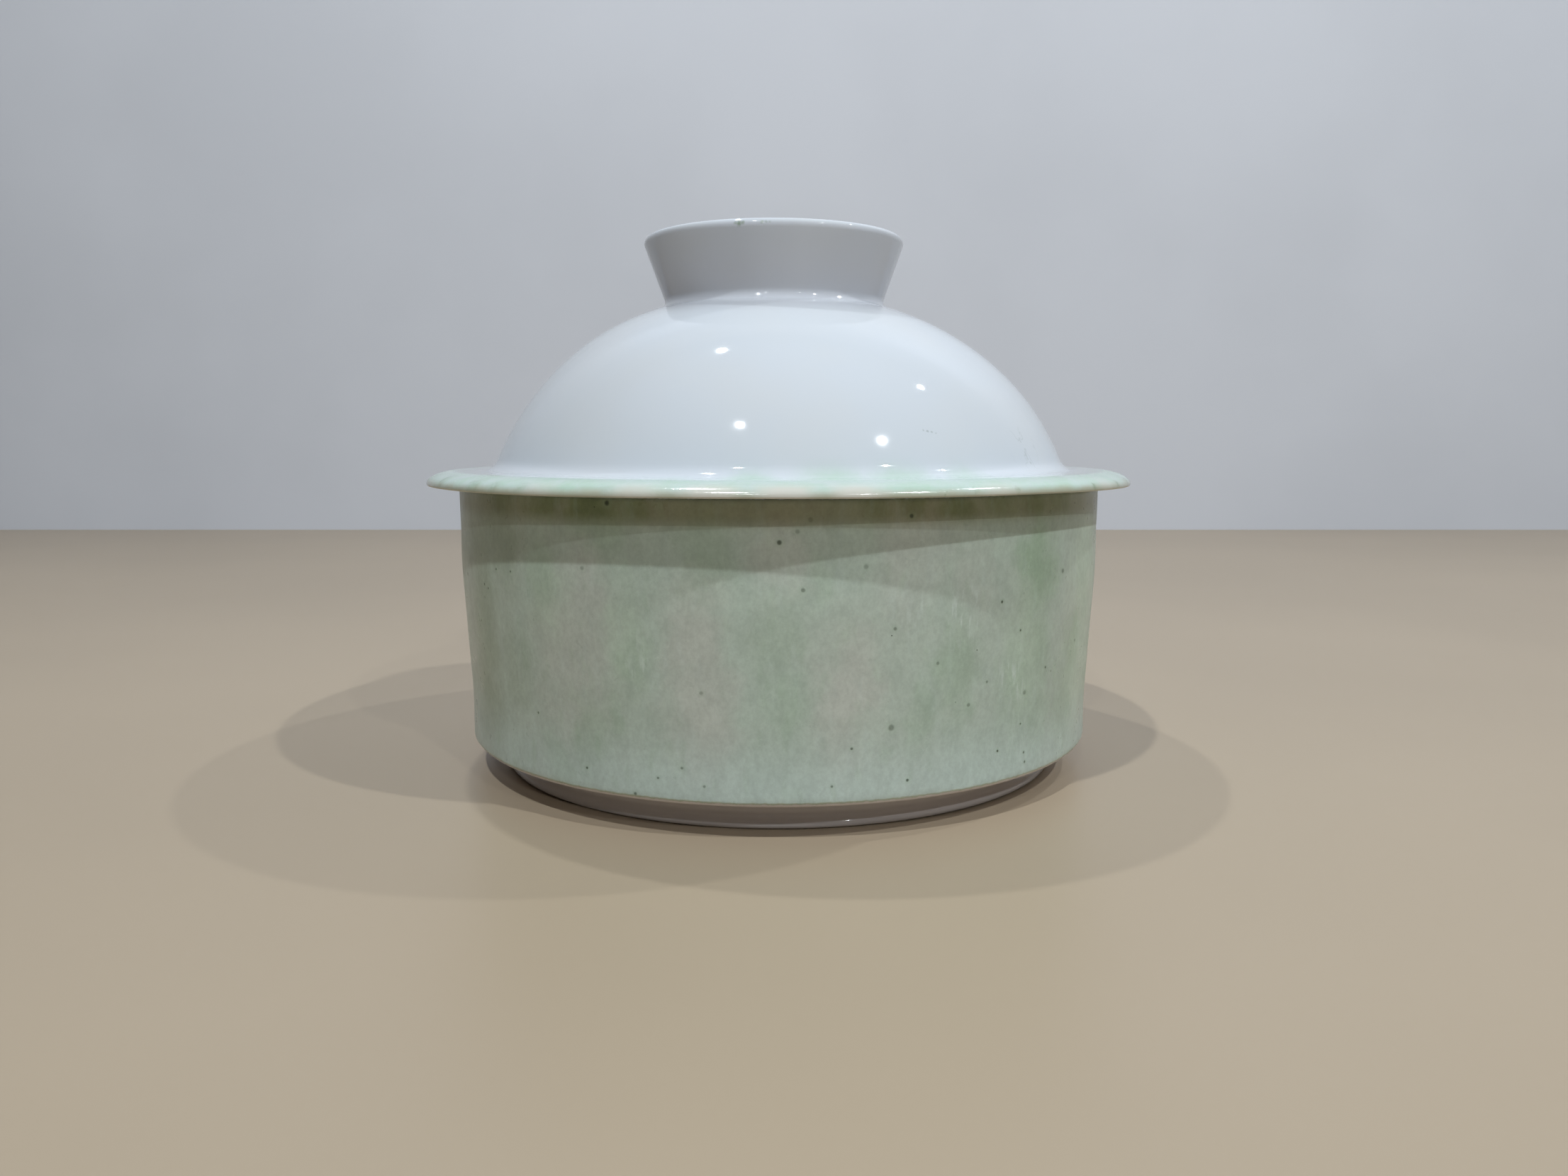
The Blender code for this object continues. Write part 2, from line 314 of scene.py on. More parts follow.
def lid_outline():
    """From the middle of the crown, down outside, round the flange and up inside."""
    flange_ball = ball_at_height(FLANGE_TOP + FLANGE_FILLET, FLANGE_FILLET)
    flange_bearing = dome_bearing(flange_ball)
    lip_bottom = FLANGE_BOTTOM - LIP_DEPTH
    lip_root = (LIP_RADIUS + LIP_FILLET, FLANGE_BOTTOM - LIP_FILLET)
    lip_edge = (LIP_RADIUS - LIP_ROUND, lip_bottom + LIP_ROUND)
    reach = INNER_DOME_RADIUS + LIP_ROUND
    inner_bearing = degrees(asin((lip_edge[1] - DOME_CENTRE[1]) / reach))
    inner_edge = (DOME_CENTRE[0] + reach * cos(radians(inner_bearing)), lip_edge[1])
    points, dome_start = grip_outline()
    points += arc(DOME_CENTRE, DOME_RADIUS, dome_start, flange_bearing)
    points += arc(flange_ball, FLANGE_FILLET, flange_bearing + 180.0, 270.0)
    points += flange_edge()
    points += arc(lip_root, LIP_FILLET, 90.0, 180.0)
    points += arc(lip_edge, LIP_ROUND, 0.0, -90.0)
    points += arc(inner_edge, LIP_ROUND, 270.0, inner_bearing + 180.0)
    points += arc(DOME_CENTRE, INNER_DOME_RADIUS, inner_bearing, 90.0)
    points += [(0.0, DOME_CENTRE[1] + INNER_DOME_RADIUS)]
    return spread(points)


# ---- Turned meshes with a hand-made surface ---------------------------------------------------

def wave(angle, terms):
    """A smooth closed wave round the axis, from -1 to 1: terms are (count, phase)."""
    return sum(sin(count * angle + phase) for count, phase in terms) / len(terms)


def bowl_surface(radius, height, angle):
    """A point of the bowl: its outside bulges a little, and the green glaze stands proud."""
    shift = WALL_WAVE * wave(angle, ((2, 0.6), (3, 2.1), (5, 4.0)))
    shift += THROWING_WAVE * sin(height / THROWING_PITCH + 0.8 * sin(angle + 1.0))
    outside = smooth(radius, UNEVEN_OUTSIDE, GLAZE_INSIDE_RADIUS)
    body = smooth(height, *UNEVEN_FROM) * (1.0 - smooth(height, *UNEVEN_TO))
    line = GLAZE_LINE + GLAZE_LINE_WAVE * wave(angle, ((7, 0.2), (18, 1.4), (41, 3.3)))
    glaze = smooth(height, line + GLAZE_ROLL[0], line + GLAZE_ROLL[1]) - 1.0
    glaze -= smooth(height, GLAZE_TOP - GLAZE_FADE, GLAZE_TOP + GLAZE_FADE)
    if radius > UNGLAZED_RADIUS:
        radius += GLAZE_THICKNESS * glaze
    radius += shift * outside * body
    return radius * sin(angle), -radius * cos(angle), height


def lid_surface(radius, height, angle):
    """A point of the lid: a flange that isn't quite flat or round, a grip a little off centre."""
    flange = smooth(radius, FLANGE_RADIUS - FLANGE_EDGE_RUN, FLANGE_RADIUS)
    height += flange * FLANGE_WAVE * wave(angle, ((2, 1.1), (3, 0.3), (7, 2.6)))
    radius -= flange * FLANGE_OUT_OF_ROUND * (0.5 + 0.5 * wave(angle, ((2, 0.0), (5, 1.9))))
    runout = GRIP_RUNOUT * smooth(height, *RUNOUT_HEIGHTS)
    return radius * sin(angle) - runout, -radius * cos(angle), height


def turned(name, outline, surface, material):
    """A closed piece swept about Z from an outline whose two ends lie on the axis."""
    low_end, rings, high_end = outline[0], outline[1:-1], outline[-1]
    corners = [surface(0.0, low_end[1], 0.0)]
    for radius, height in rings:
        for segment in range(SEGMENTS):
            corners.append(surface(radius, height, 2.0 * pi * segment / SEGMENTS))
    corners.append(surface(0.0, high_end[1], 0.0))
    faces = []
    last_ring = 1 + (len(rings) - 1) * SEGMENTS
    for segment in range(SEGMENTS):
        following = (segment + 1) % SEGMENTS
        faces.append((0, 1 + segment, 1 + following))
        faces.append((len(corners) - 1, last_ring + following, last_ring + segment))
    for ring in range(len(rings) - 1):
        start = 1 + ring * SEGMENTS
        for segment in range(SEGMENTS):
            following = (segment + 1) % SEGMENTS
            below = start + SEGMENTS
            faces.append((start + segment, below + segment, below + following, start + following))
    mesh = bpy.data.meshes.new(name)
    mesh.from_pydata(corners, [], faces)
    mesh.materials.append(material)
    mesh.shade_smooth()
    mesh.update()
    piece = bpy.data.objects.new(name, mesh)
    bpy.context.scene.collection.objects.link(piece)
    return piece


# ---- Material nodes ---------------------------------------------------------------------------

class Glaze:
    """A glaze under construction: a Principled shader and short ways to add its nodes."""

    def __init__(self, name):
        self.material = bpy.data.materials.new(name)
        self.material.use_nodes = True
        self.tree = self.material.node_tree
        self.shader = self.tree.nodes["Principled BSDF"]
        self.place = self.tree.nodes.new("ShaderNodeTexCoord").outputs["Object"]

    def node(self, kind, inputs, **settings):
        """A node with its settings and inputs; an input is a value or another node's output."""
        made = self.tree.nodes.new(kind)
        for name, value in settings.items():
            setattr(made, name, value)
        for name, value in inputs.items():
            if isinstance(value, bpy.types.NodeSocket):
                self.tree.links.new(value, made.inputs[name])
            else:
                made.inputs[name].default_value = value
        return made

    def math(self, operation, first, second=0.0):
        """One number from two."""
        made = self.node("ShaderNodeMath", {0: first, 1: second}, operation=operation)
        return made.outputs[0]

    def vector(self, operation, first, second):
        """A vector from two vectors."""
        made = self.node("ShaderNodeVectorMath", {0: first, 1: second}, operation=operation)
        return made.outputs[0]

    def ramp(self, value, low, high, start=0.0, end=1.0):
        """A smooth run from start to end as the value goes from low to high."""
        made = self.node(
            "ShaderNodeMapRange",
            {"Value": value, "From Min": low, "From Max": high, "To Min": start, "To Max": end},
            interpolation_type="SMOOTHSTEP",
        )
        return made.outputs[0]

    def noise(self, size, detail=2.0, rough=0.5, stretch=1.0, offset=0.0):
        """Noise whose blobs are about size across, and stretch times as tall."""
        scale = 1.0 / size
        mapped = self.node(
            "ShaderNodeMapping",
            {
                "Vector": self.place,
                "Scale": (scale, scale, scale / stretch),
                "Location": (offset, offset, offset),
            },
        )
        made = self.node(
            "ShaderNodeTexNoise",
            {"Vector": mapped.outputs[0], "Scale": 1.0, "Detail": detail, "Roughness": rough},
        )
        return made.outputs["Fac"]

    def warped(self, size, amount):
        """The place, pushed about by noise, so that round blobs turn ragged."""
        made = self.node(
            "ShaderNodeTexNoise",
            {"Vector": self.place, "Scale": 1.0 / size, "Detail": 3.0, "Roughness": 0.55},
        )
        centred = self.vector("SUBTRACT", made.outputs["Color"], (0.5, 0.5, 0.5))
        scaled = self.vector("MULTIPLY", centred, (amount, amount, amount))
        return self.vector("ADD", self.place, scaled)

    def blob(self, place, point, inner, outer):
        """1 within inner of a point, 0 beyond outer."""
        made = self.node("ShaderNodeVectorMath", {0: place, 1: point}, operation="DISTANCE")
        return self.ramp(made.outputs["Value"], inner, outer, 1.0, 0.0)

    def patches(self, place, spots):
        """The strongest of several soft blobs, each a point, a radius and a strength."""
        field = 0.0
        for point, size, strength in spots:
            blob = self.blob(place, point, PATCH_CORE * size, size)
            field = self.math("MAXIMUM", self.math("MULTIPLY", blob, strength), field)
        return field

    def wall_patches(self, place, table):
        """Upright soft patches on the bowl's wall, from azimuth, height, size and strength."""
        squashed = self.vector("MULTIPLY", place, (1.0, 1.0, PATCH_SQUASH))
        spots = []
        for azimuth, height, size, strength in table:
            x, y, z = on_wall(azimuth, height * MM)
            spots.append(((x, y, z * PATCH_SQUASH), size * MM, strength))
        return self.patches(squashed, spots)

    def lid_patches(self, place, table, shift=(0.0, 0.0, 0.0)):
        """Soft patches on the lid, from a table of azimuth, radius, height, size and strength."""
        spots = []
        for azimuth, radius, height, size, strength in table:
            x, y, z = around(azimuth, radius * MM, height * MM)
            spots.append(((x + shift[0], y + shift[1], z + shift[2]), size * MM, strength))
        return self.patches(place, spots)

    def specks(self, cell, largest, share, offset=0.0):
        """Scattered round specks: one in a share of the cells, up to largest in radius."""
        mapped = self.node(
            "ShaderNodeMapping",
            {
                "Vector": self.place,
                "Scale": (1.0 / cell,) * 3,
                "Location": (offset, offset, offset),
            },
        )
        made = self.node("ShaderNodeTexVoronoi", {"Vector": mapped.outputs[0], "Scale": 1.0})
        chance = self.node("ShaderNodeSeparateColor", {"Color": made.outputs["Color"]})
        size = self.ramp(chance.outputs[0], 1.0 - share, 1.0, 0.0, largest / cell)
        near = self.math("DIVIDE", made.outputs["Distance"], self.math("ADD", size, 1e-4))
        return self.ramp(near, 0.45, 1.0, 1.0, 0.0)

    def mix(self, factor, first, second, mode="MIX"):
        """A colour between two colours."""
        made = self.node(
            "ShaderNodeMix", {0: factor, 6: first, 7: second}, data_type="RGBA", blend_type=mode
        )
        return made.outputs[2]

    def bump(self, height, distance, strength, before=None):
        """A normal from a height, in metres when the height runs from 0 to 1."""
        inputs = {"Height": height, "Distance": distance, "Strength": strength}
        if before is not None:
            inputs["Normal"] = before
        return self.node("ShaderNodeBump", inputs).outputs[0]

    def drive(self, name, value):
        """Let a node's output set one of the shader's inputs."""
        self.tree.links.new(value, self.shader.inputs[name])

    def radius(self):
        """Distance from the axis."""
        flat = self.vector("MULTIPLY", self.place, (1.0, 1.0, 0.0))
        made = self.node("ShaderNodeVectorMath", {0: flat}, operation="LENGTH")
        return made.outputs["Value"]

    def height(self):
        """Height above the origin."""
        return self.node("ShaderNodeSeparateXYZ", {0: self.place}).outputs[2]


def around(azimuth, radius, height):
    """A point from its azimuth in degrees (0 is the front, 90 is +X), radius and height."""
    return (radius * sin(radians(azimuth)), -radius * cos(radians(azimuth)), height)


def on_wall(azimuth, height):
    """A point on the outside of the bowl."""
    return around(azimuth, wall_radius(height), height)


GLAZE_IOR = 1.5
CLEAR_ROUGHNESS = 0.07              # the bowl's white
GREEN_ROUGHNESS = (0.20, 0.30)      # what the green adds to it, from place to place
WHITE_ROUGHNESS = (0.03, 0.06)      # the lid's white, from place to place
SATIN_ROUGHNESS = 0.11              # what the flange's rolled edge adds to it
GREEN_PEEL = 0.020 * MM             # depths of the glazes' relief
WHITE_PEEL = 0.008 * MM
SPECK_PIT = 0.050 * MM
EDGE_RIPPLE = 0.035 * MM
FRINGE = 0.18 * MM                  # the green's lower edge strays this far up and down
UNDER_GRAIN = 0.35 * MM             # and so does the thin glaze under the flange's edge

# Colours of the glazes
MINT = (0.440, 0.525, 0.460, 1.0)
DEEP_GREEN = (0.285, 0.415, 0.280, 1.0)
ROSE_GREY = (0.500, 0.525, 0.482, 1.0)
DARK_MINT = (0.345, 0.415, 0.335, 1.0)
LIGHT_MINT = (0.485, 0.598, 0.490, 1.0)
PALE_MINT = (0.515, 0.618, 0.600, 1.0)
# The next tone is that of light drip marks and of a painted streaky reflection
DRIP_AND_REFLECTION_TONE = (0.600, 0.680, 0.640, 1.0)
# The next tint is partly the glaze's own olive-brown and partly painted shade under the flange
RIM_BROWN_AND_SHADE = (0.73, 0.66, 0.54, 1.0)
RIM_GREEN = (0.68, 0.76, 0.60, 1.0)
SPECK = (0.040, 0.058, 0.034, 1.0)
OLIVE_LINE = (0.360, 0.330, 0.170, 1.0)
PORCELAIN = (0.635, 0.680, 0.745, 1.0)
# The next tint is painted shade on the outer side of the ring grip
GRIP_SHADE_TINT = (0.88, 0.865, 0.875, 1.0)
BODY = (0.700, 0.660, 0.580, 1.0)
# The foot's colour is partly the body's own and partly painted warm bounce light and shade under the
# ledge
FOOT_BODY_AND_BOUNCE = (0.625, 0.585, 0.580, 1.0)
FLANGE_MINT = (0.440, 0.600, 0.490, 1.0)
FLANGE_UNDER = (0.455, 0.465, 0.370, 1.0)
FLANGE_CREAM = (0.660, 0.640, 0.590, 1.0)
SMUDGE = (0.200, 0.270, 0.170, 1.0)
GREY_MARK = (0.270, 0.320, 0.310, 1.0)

# All marks are listed one by one: round the front after the photo, round the back freely.
# Azimuths are in degrees, from the front towards +X.

# Cloudy patches of the green glaze: azimuth, height in mm, radius in mm and strength
ROSE_PATCHES = (
    (-12, 48, 12, 0.8), (-11, 31, 13, 0.8), (10, 34, 12, 0.9), (-33, 42, 17, 0.7),
    (-30, 57, 9, 0.6), (20, 68, 14, 0.5), (60, 45, 16, 0.7), (-62, 40, 14, 0.5),
    (0, 66, 9, 0.5), (30, 60, 8, 0.4),
    (95, 30, 18, 0.8), (125, 55, 20, 0.9), (160, 35, 18, 0.8), (-100, 50, 20, 0.8),
    (-135, 30, 20, 0.9), (-165, 58, 17, 0.8),
)
GREEN_PATCHES = (
    (44, 62, 11, 0.9), (-26, 76, 10, 0.5), (28, 38, 9, 0.5), (41, 30, 12, 0.35),
    (54, 24, 10, 0.4), (57, 38, 7, 0.5), (-38, 60, 8, 0.4), (-25, 28, 6, 0.5), (-37, 13, 7, 0.5),
    (22, 26, 7, 0.4), (5, 60, 6, 0.25), (0, 50, 8, 0.25), (1, 34, 7, 0.25), (-22, 40, 7, 0.4),
    (-30, 22, 8, 0.4), (46, 40, 9, 0.4), (46, 22, 9, 0.4), (-10, 66, 9, 0.35),
    (75, 25, 18, 0.6), (110, 65, 18, 0.9), (145, 20, 16, 0.6), (-85, 30, 18, 0.7),
    (-120, 66, 18, 0.9), (-150, 45, 15, 0.5), (180, 66, 15, 0.8),
)
# The front-left group, azimuths -46 to -57, is partly painted shade of that darker side; the others
# are dark clouds in the glaze
DARK_CLOUDS_AND_SHADE = (
    (-56, 60, 15, 1.0), (-57, 42, 14, 1.0), (-57, 24, 14, 1.0), (-47, 68, 11, 0.8),
    (-50, 77, 14, 0.9), (-46, 36, 9, 0.5),
    (100, 48, 14, 0.8), (150, 60, 14, 0.8), (-145, 18, 14, 0.8), (-110, 34, 12, 0.7),
)
LIGHT_PATCHES = (
    (61, 56, 16, 1.0), (62, 36, 17, 1.0), (60, 18, 14, 0.8), (41, 44, 12, 0.7), (-24, 50, 9, 0.6),
    (-36, 56, 10, 0.5), (85, 60, 14, 0.8), (130, 34, 14, 0.8), (-90, 62, 12, 0.8),
    (-170, 30, 14, 0.8),
)
CLOUDS = (
    (ROSE_GREY, 0.95, ROSE_PATCHES), (LIGHT_MINT, 0.80, LIGHT_PATCHES),
    (DEEP_GREEN, 0.70, GREEN_PATCHES), (DARK_MINT, 1.00, DARK_CLOUDS_AND_SHADE),
)

# Darker smudges under the rim, in the same four numbers
RIM_SMUDGES = (
    (-47, 78, 9, 0.6), (-37, 77, 9, 0.9), (-29, 78, 8, 1.0), (-21, 77, 7, 0.8), (14, 79, 7, 0.6),
    (20, 78, 6, 0.9), (27, 78, 7, 1.0), (35, 78, 6, 0.6), (42, 77, 8, 0.8), (50, 78, 8, 0.6),
    (90, 77, 12, 0.8), (140, 78, 12, 0.9), (-160, 77, 12, 0.8), (-110, 78, 12, 0.7),
    (-80, 78, 10, 0.8),
)

# Light drip marks in the green glaze, and round the front at azimuths 20 to 40 a painted streaky
# reflection: azimuth, height, radius of the group and strength
DRIP_AND_REFLECTION_PATCHES = (
    (28, 50, 8, 1.0), (39, 36, 7, 1.0), (-21, 42, 6, 0.7), (40, 20, 7, 0.6), (20, 52, 5, 0.6),
    (-42, 33, 7, 0.3), (12, 16, 8, 0.3), (100, 56, 9, 0.8), (-150, 40, 9, 0.8), (170, 20, 8, 0.7),
)

# Green sprayed over the flange: azimuth, radius and radius of the patch in mm, and strength
SPRAY_PATCHES = (
    (8, 86, 12, 0.8), (20, 86, 12, 0.8), (32, 87, 10, 0.7), (-4, 88, 10, 0.7), (-48, 96, 8, 0.5),
    (-16, 90, 8, 0.6), (42, 95, 8, 0.5), (-30, 96, 8, 0.5), (75, 92, 9, 0.7), (130, 89, 9, 0.9),
    (-150, 91, 9, 0.8), (-100, 93, 9, 0.7), (170, 94, 9, 0.6),
)
# Bare cream stretches of its lower edge: azimuth, radius, height, radius of the patch, strength
CREAM_PATCHES = (
    (-18, 99.5, 80.5, 9.0, 0.7), (-8, 99.5, 80.8, 9.0, 0.9), (1, 99.5, 81.0, 10.0, 1.0),
    (10, 99.5, 81.0, 9.0, 0.9), (-33, 99.5, 80.2, 8.0, 0.4), (30, 99.5, 80.3, 8.0, 0.5),
    (55, 99.5, 80.3, 7.0, 0.4), (110, 99.5, 80.8, 12.0, 0.8), (-150, 99.5, 80.8, 14.0, 0.8),
)
# Dark smudges on its edge: azimuth, radius, height, radius of the smudge in mm, and strength
EDGE_SMUDGES = (
    (-70, 98.4, 81.8, 5.0, 0.30), (-59, 98.8, 81.6, 4.0, 0.35), (-47, 99.0, 81.3, 4.5, 0.30),
    (-42, 99.3, 81.3, 3.0, 0.25), (-36, 99.4, 81.1, 3.0, 0.20), (-22, 99.4, 80.9, 2.4, 0.12),
    (21.5, 99.7, 80.6, 0.8, 0.60), (26, 99.4, 81.0, 1.3, 0.35), (33, 99.6, 80.6, 1.4, 0.30),
    (50.4, 99.7, 80.6, 1.7, 0.55), (60, 99.6, 80.6, 2.2, 0.45), (68, 99.2, 80.8, 2.4, 0.40),
    (120, 99.4, 80.9, 2.6, 0.45), (-130, 99.4, 80.9, 2.8, 0.40), (175, 99.4, 80.9, 2.2, 0.40),
)
# Small marks in the lid's glaze: azimuth, radius, height, radius of the mark in mm, and strength
GREEN_MARKS = (
    (-15.0, 36.9, 147.2, 0.8, 0.50), (-13.5, 36.9, 147.1, 1.1, 0.75), (-12.0, 36.9, 147.2, 0.9, 0.60),
    (-4.2, 37.0, 147.3, 0.7, 0.50), (-2.6, 37.0, 147.4, 0.6, 0.30), (-1.2, 37.0, 147.4, 0.5, 0.25),
    (95.0, 36.9, 147.2, 1.0, 0.60),
)
GREY_MARKS = (
    (26.6, 77.0, 94.0, 0.45, 0.45), (27.4, 77.1, 93.7, 0.50, 0.55), (28.2, 77.3, 93.5, 0.45, 0.45),
    (29.0, 77.4, 93.3, 0.40, 0.35), (34.5, 46.5, 123.3, 0.35, 0.80), (20.3, 33.4, 138.1, 0.40, 0.65),
    (19.6, 33.3, 138.0, 0.30, 0.50), (19.0, 33.2, 137.7, 0.35, 0.65), (20.1, 33.2, 137.4, 0.30, 0.40),
    (-140.0, 60.0, 114.6, 0.40, 0.70), (150.0, 74.0, 98.8, 0.45, 0.60),
)
GRIP_SHIFT = (-GRIP_RUNOUT, 0.0, 0.0)
FINE_LINES = (52.0, 79.5, 88.5)     # azimuth, radius and height in mm of a few fine drip lines
FINE_LINES_AREA = (3.0 * MM, 9.0 * MM)

# Iron specks that stand out: azimuth, height in mm, radius in mm and strength
IRON_SPECKS = (
    (-25.0, 77.6, 0.62, 1.0), (0.3, 69.4, 0.55, 0.9), (19.2, 74.9, 0.50, 0.9),
    (3.6, 58.8, 0.50, 0.6), (-50.2, 59.8, 0.28, 0.9), (-45.7, 59.8, 0.28, 0.9),
    (-55.1, 55.2, 0.34, 1.0), (-53.6, 54.4, 0.30, 1.0), (-55.4, 51.8, 0.26, 0.7),
    (17.0, 49.5, 0.42, 0.6), (35.5, 53.8, 0.36, 1.0), (40.1, 46.2, 0.30, 0.9),
    (51.2, 59.2, 0.60, 0.6), (47.7, 35.4, 0.30, 0.9), (58.8, 39.8, 0.36, 0.8),
    (24.1, 40.7, 0.42, 0.5), (16.9, 26.3, 0.75, 0.6), (10.9, 21.9, 0.32, 0.8),
    (36.5, 17.0, 0.32, 1.0), (42.9, 14.9, 0.34, 0.8), (41.7, 22.5, 0.28, 0.8),
    (19.7, 13.4, 0.36, 0.9), (-30.5, 14.3, 0.32, 0.9), (-18.0, 14.2, 0.30, 0.7),
    (-40.8, 25.5, 0.32, 0.8), (42.2, 30.3, 0.60, 0.5), (118.0, 44.0, 0.60, 0.9),
    (-132.0, 62.0, 0.55, 0.9), (171.0, 28.0, 0.45, 0.9), (-97.0, 21.0, 0.40, 0.8),
    (-58.2, 45.2, 0.34, 0.8), (-65.0, 56.2, 0.50, 0.8), (-29.6, 62.4, 0.50, 0.4),
    (12.5, 63.8, 0.55, 0.4), (33.4, 34.8, 0.34, 0.6), (-11.0, 35.0, 0.45, 0.4),
    (-14.2, 17.0, 0.34, 0.6), (43.2, 12.4, 0.34, 0.8), (30.0, 29.8, 0.50, 0.5),
    (-10.8, 13.0, 0.34, 0.6), (-21.8, 9.8, 0.40, 0.8), (8.0, 13.2, 0.30, 0.7),
    (4.6, 74.4, 0.60, 0.35), (2.8, 71.8, 0.50, 0.4), (49.6, 34.0, 0.30, 0.5),
)

# Heights and radii at which the looks change, each as a start and an end of the change
# Heights of the band under the flange that is browned and darkened: partly glaze tone, partly painted
# shade
RIM_SHADE_TINT = (71.0 * MM, 75.5 * MM)
RIM_SMUDGING = (72.0 * MM, 76.0 * MM)
PALE_FOOT = (9.0 * MM, 30.0 * MM)
OLIVE_BAND = (9.15 * MM, 9.7 * MM)
GREEN_FROM = (8.95 * MM, 9.1 * MM)
GREEN_TO = (GLAZE_TOP - 0.1 * MM, GLAZE_TOP + 0.2 * MM)
GREEN_OUTSIDE = (GLAZE_INSIDE_RADIUS - 0.3 * MM, GLAZE_INSIDE_RADIUS)
# Heights below which the foot gets its partly painted warm bounce light and shade
FOOT_BOUNCE_TINT = (9.0 * MM, 10.5 * MM)
SPRAY_RADII = (82.0 * MM, 96.5 * MM)
SPRAY_OUTSIDE = (79.5 * MM, 83.0 * MM)
SPRAY_ABOVE = (79.2 * MM, 79.6 * MM)
SATIN_OUTSIDE = (91.0 * MM, 94.0 * MM)
EDGE_OUTSIDE = (92.0 * MM, 97.0 * MM)
UNDER_EDGE = (79.7 * MM, 81.7 * MM)
BARE_EDGE = (81.2 * MM, 83.0 * MM)
# Heights and radius of the ring grip's outer side, which gets painted shade
GRIP_FOOT = (CROWN_HEIGHT - 8.0 * MM, CROWN_HEIGHT - 4.0 * MM)
GRIP_TOP = (GRIP_HEIGHT - 1.6 * MM, GRIP_HEIGHT - 0.2 * MM)
GRIP_OUTSIDE = (28.0 * MM, 29.5 * MM)


def cloudy_green(glaze, height, ragged):
    """The colour of the wall: clouds of several tones, olive-brown under the rim, paler below; the
    olive-brown is partly the glaze's own tone and partly painted shade under the flange.
    """
    drift = glaze.noise(16.0 * MM, detail=3.0, rough=0.55, stretch=1.6)
    colour = glaze.mix(glaze.ramp(drift, 0.38, 0.66, 0.0, 0.22), MINT, ROSE_GREY)
    for tone, strength, table in CLOUDS:
        field = glaze.wall_patches(ragged, table)
        colour = glaze.mix(glaze.math("MULTIPLY", field, strength), colour, tone)
    # Painted shade, together with the glaze's own olive-brown, in the band under the flange
    colour = glaze.mix(glaze.ramp(height, *RIM_SHADE_TINT), colour, RIM_BROWN_AND_SHADE, "MULTIPLY")
    near_rim = glaze.ramp(height, *RIM_SMUDGING)
    smudges = glaze.math("MULTIPLY", glaze.wall_patches(ragged, RIM_SMUDGES), near_rim)
    colour = glaze.mix(smudges, colour, RIM_GREEN, "MULTIPLY")
    return glaze.mix(glaze.ramp(height, *PALE_FOOT, 0.55, 0.0), colour, PALE_MINT)


def streaked(glaze, colour, ragged):
    """Pale and dark upright streaks, and light drip marks in a few places, some of them a painted
    streaky reflection.
    """
    pale = glaze.noise(2.6 * MM, detail=3.0, rough=0.6, stretch=4.0)
    colour = glaze.mix(glaze.ramp(pale, 0.50, 0.78, 0.0, 0.16), colour, PALE_MINT)
    # Light drip marks, and at the front right a painted streaky reflection
    drips_and_reflection = glaze.noise(1.1 * MM, detail=2.0, stretch=5.0, offset=3.0)
    drips_and_reflection = glaze.ramp(drips_and_reflection, 0.50, 0.66, 0.0, 0.55)
    drips_and_reflection = glaze.math("MULTIPLY", drips_and_reflection, glaze.wall_patches(ragged, DRIP_AND_REFLECTION_PATCHES))
    colour = glaze.mix(drips_and_reflection, colour, DRIP_AND_REFLECTION_TONE)
    dark = glaze.noise(3.4 * MM, detail=2.0, stretch=2.5, offset=7.0)
    return glaze.mix(glaze.ramp(dark, 0.56, 0.8, 0.0, 0.18), colour, DEEP_GREEN)


def mottled(glaze, colour):
    """Small blotches and a fine mottle, in brightness only."""
    blotches = glaze.noise(5.0 * MM, detail=4.0, rough=0.6, stretch=1.3, offset=5.0)
    colour = glaze.mix(1.0, colour, glaze.ramp(blotches, *NOISE_RANGE, 0.95, 1.05), "MULTIPLY")
    mottle = glaze.noise(1.3 * MM, detail=4.0, rough=0.75, stretch=1.2)
    return glaze.mix(1.0, colour, glaze.ramp(mottle, 0.25, 0.75, 0.91, 1.09), "MULTIPLY")


def speckled(glaze, colour):
    """Iron specks, fine and large, each large one in a greener halo; also where they are."""
    fine = glaze.specks(5.2 * MM, largest=0.26 * MM, share=0.10)
    faint = glaze.specks(8.5 * MM, largest=0.50 * MM, share=0.12, offset=3.0)
    spots = glaze.math("MAXIMUM", fine, glaze.math("MULTIPLY", faint, 0.5))
    halo = 0.0
    for azimuth, height, size, strength in IRON_SPECKS:
        point = on_wall(azimuth, height * MM)
        blob = glaze.blob(glaze.place, point, 0.5 * size * MM, 1.4 * size * MM)
        spots = glaze.math("MAXIMUM", spots, glaze.math("MULTIPLY", blob, strength))
        ring = glaze.blob(glaze.place, point, 1.0 * size * MM, 3.2 * size * MM)
        halo = glaze.math("MAXIMUM", halo, glaze.math("MULTIPLY", ring, strength))
    colour = glaze.mix(glaze.math("MULTIPLY", halo, 0.22), colour, DEEP_GREEN)
    return glaze.mix(glaze.math("MULTIPLY", spots, 0.90), colour, SPECK), spots


def bare_porcelain(glaze, height):
    """The clear-glazed white of the inside, the rim and the foot; the foot's warmer, darker tone is
    partly the body's own and partly painted warm bounce light and shade.
    """
    warmth = glaze.ramp(glaze.noise(20.0 * MM), *NOISE_RANGE, 0.0, 0.12)
    white = glaze.mix(warmth, PORCELAIN, BODY)
    # Painted warm bounce light and shade on the foot, with the body's own warmer tone
    return glaze.mix(glaze.ramp(height, *FOOT_BOUNCE_TINT, 1.0, 0.0), white, FOOT_BODY_AND_BOUNCE)


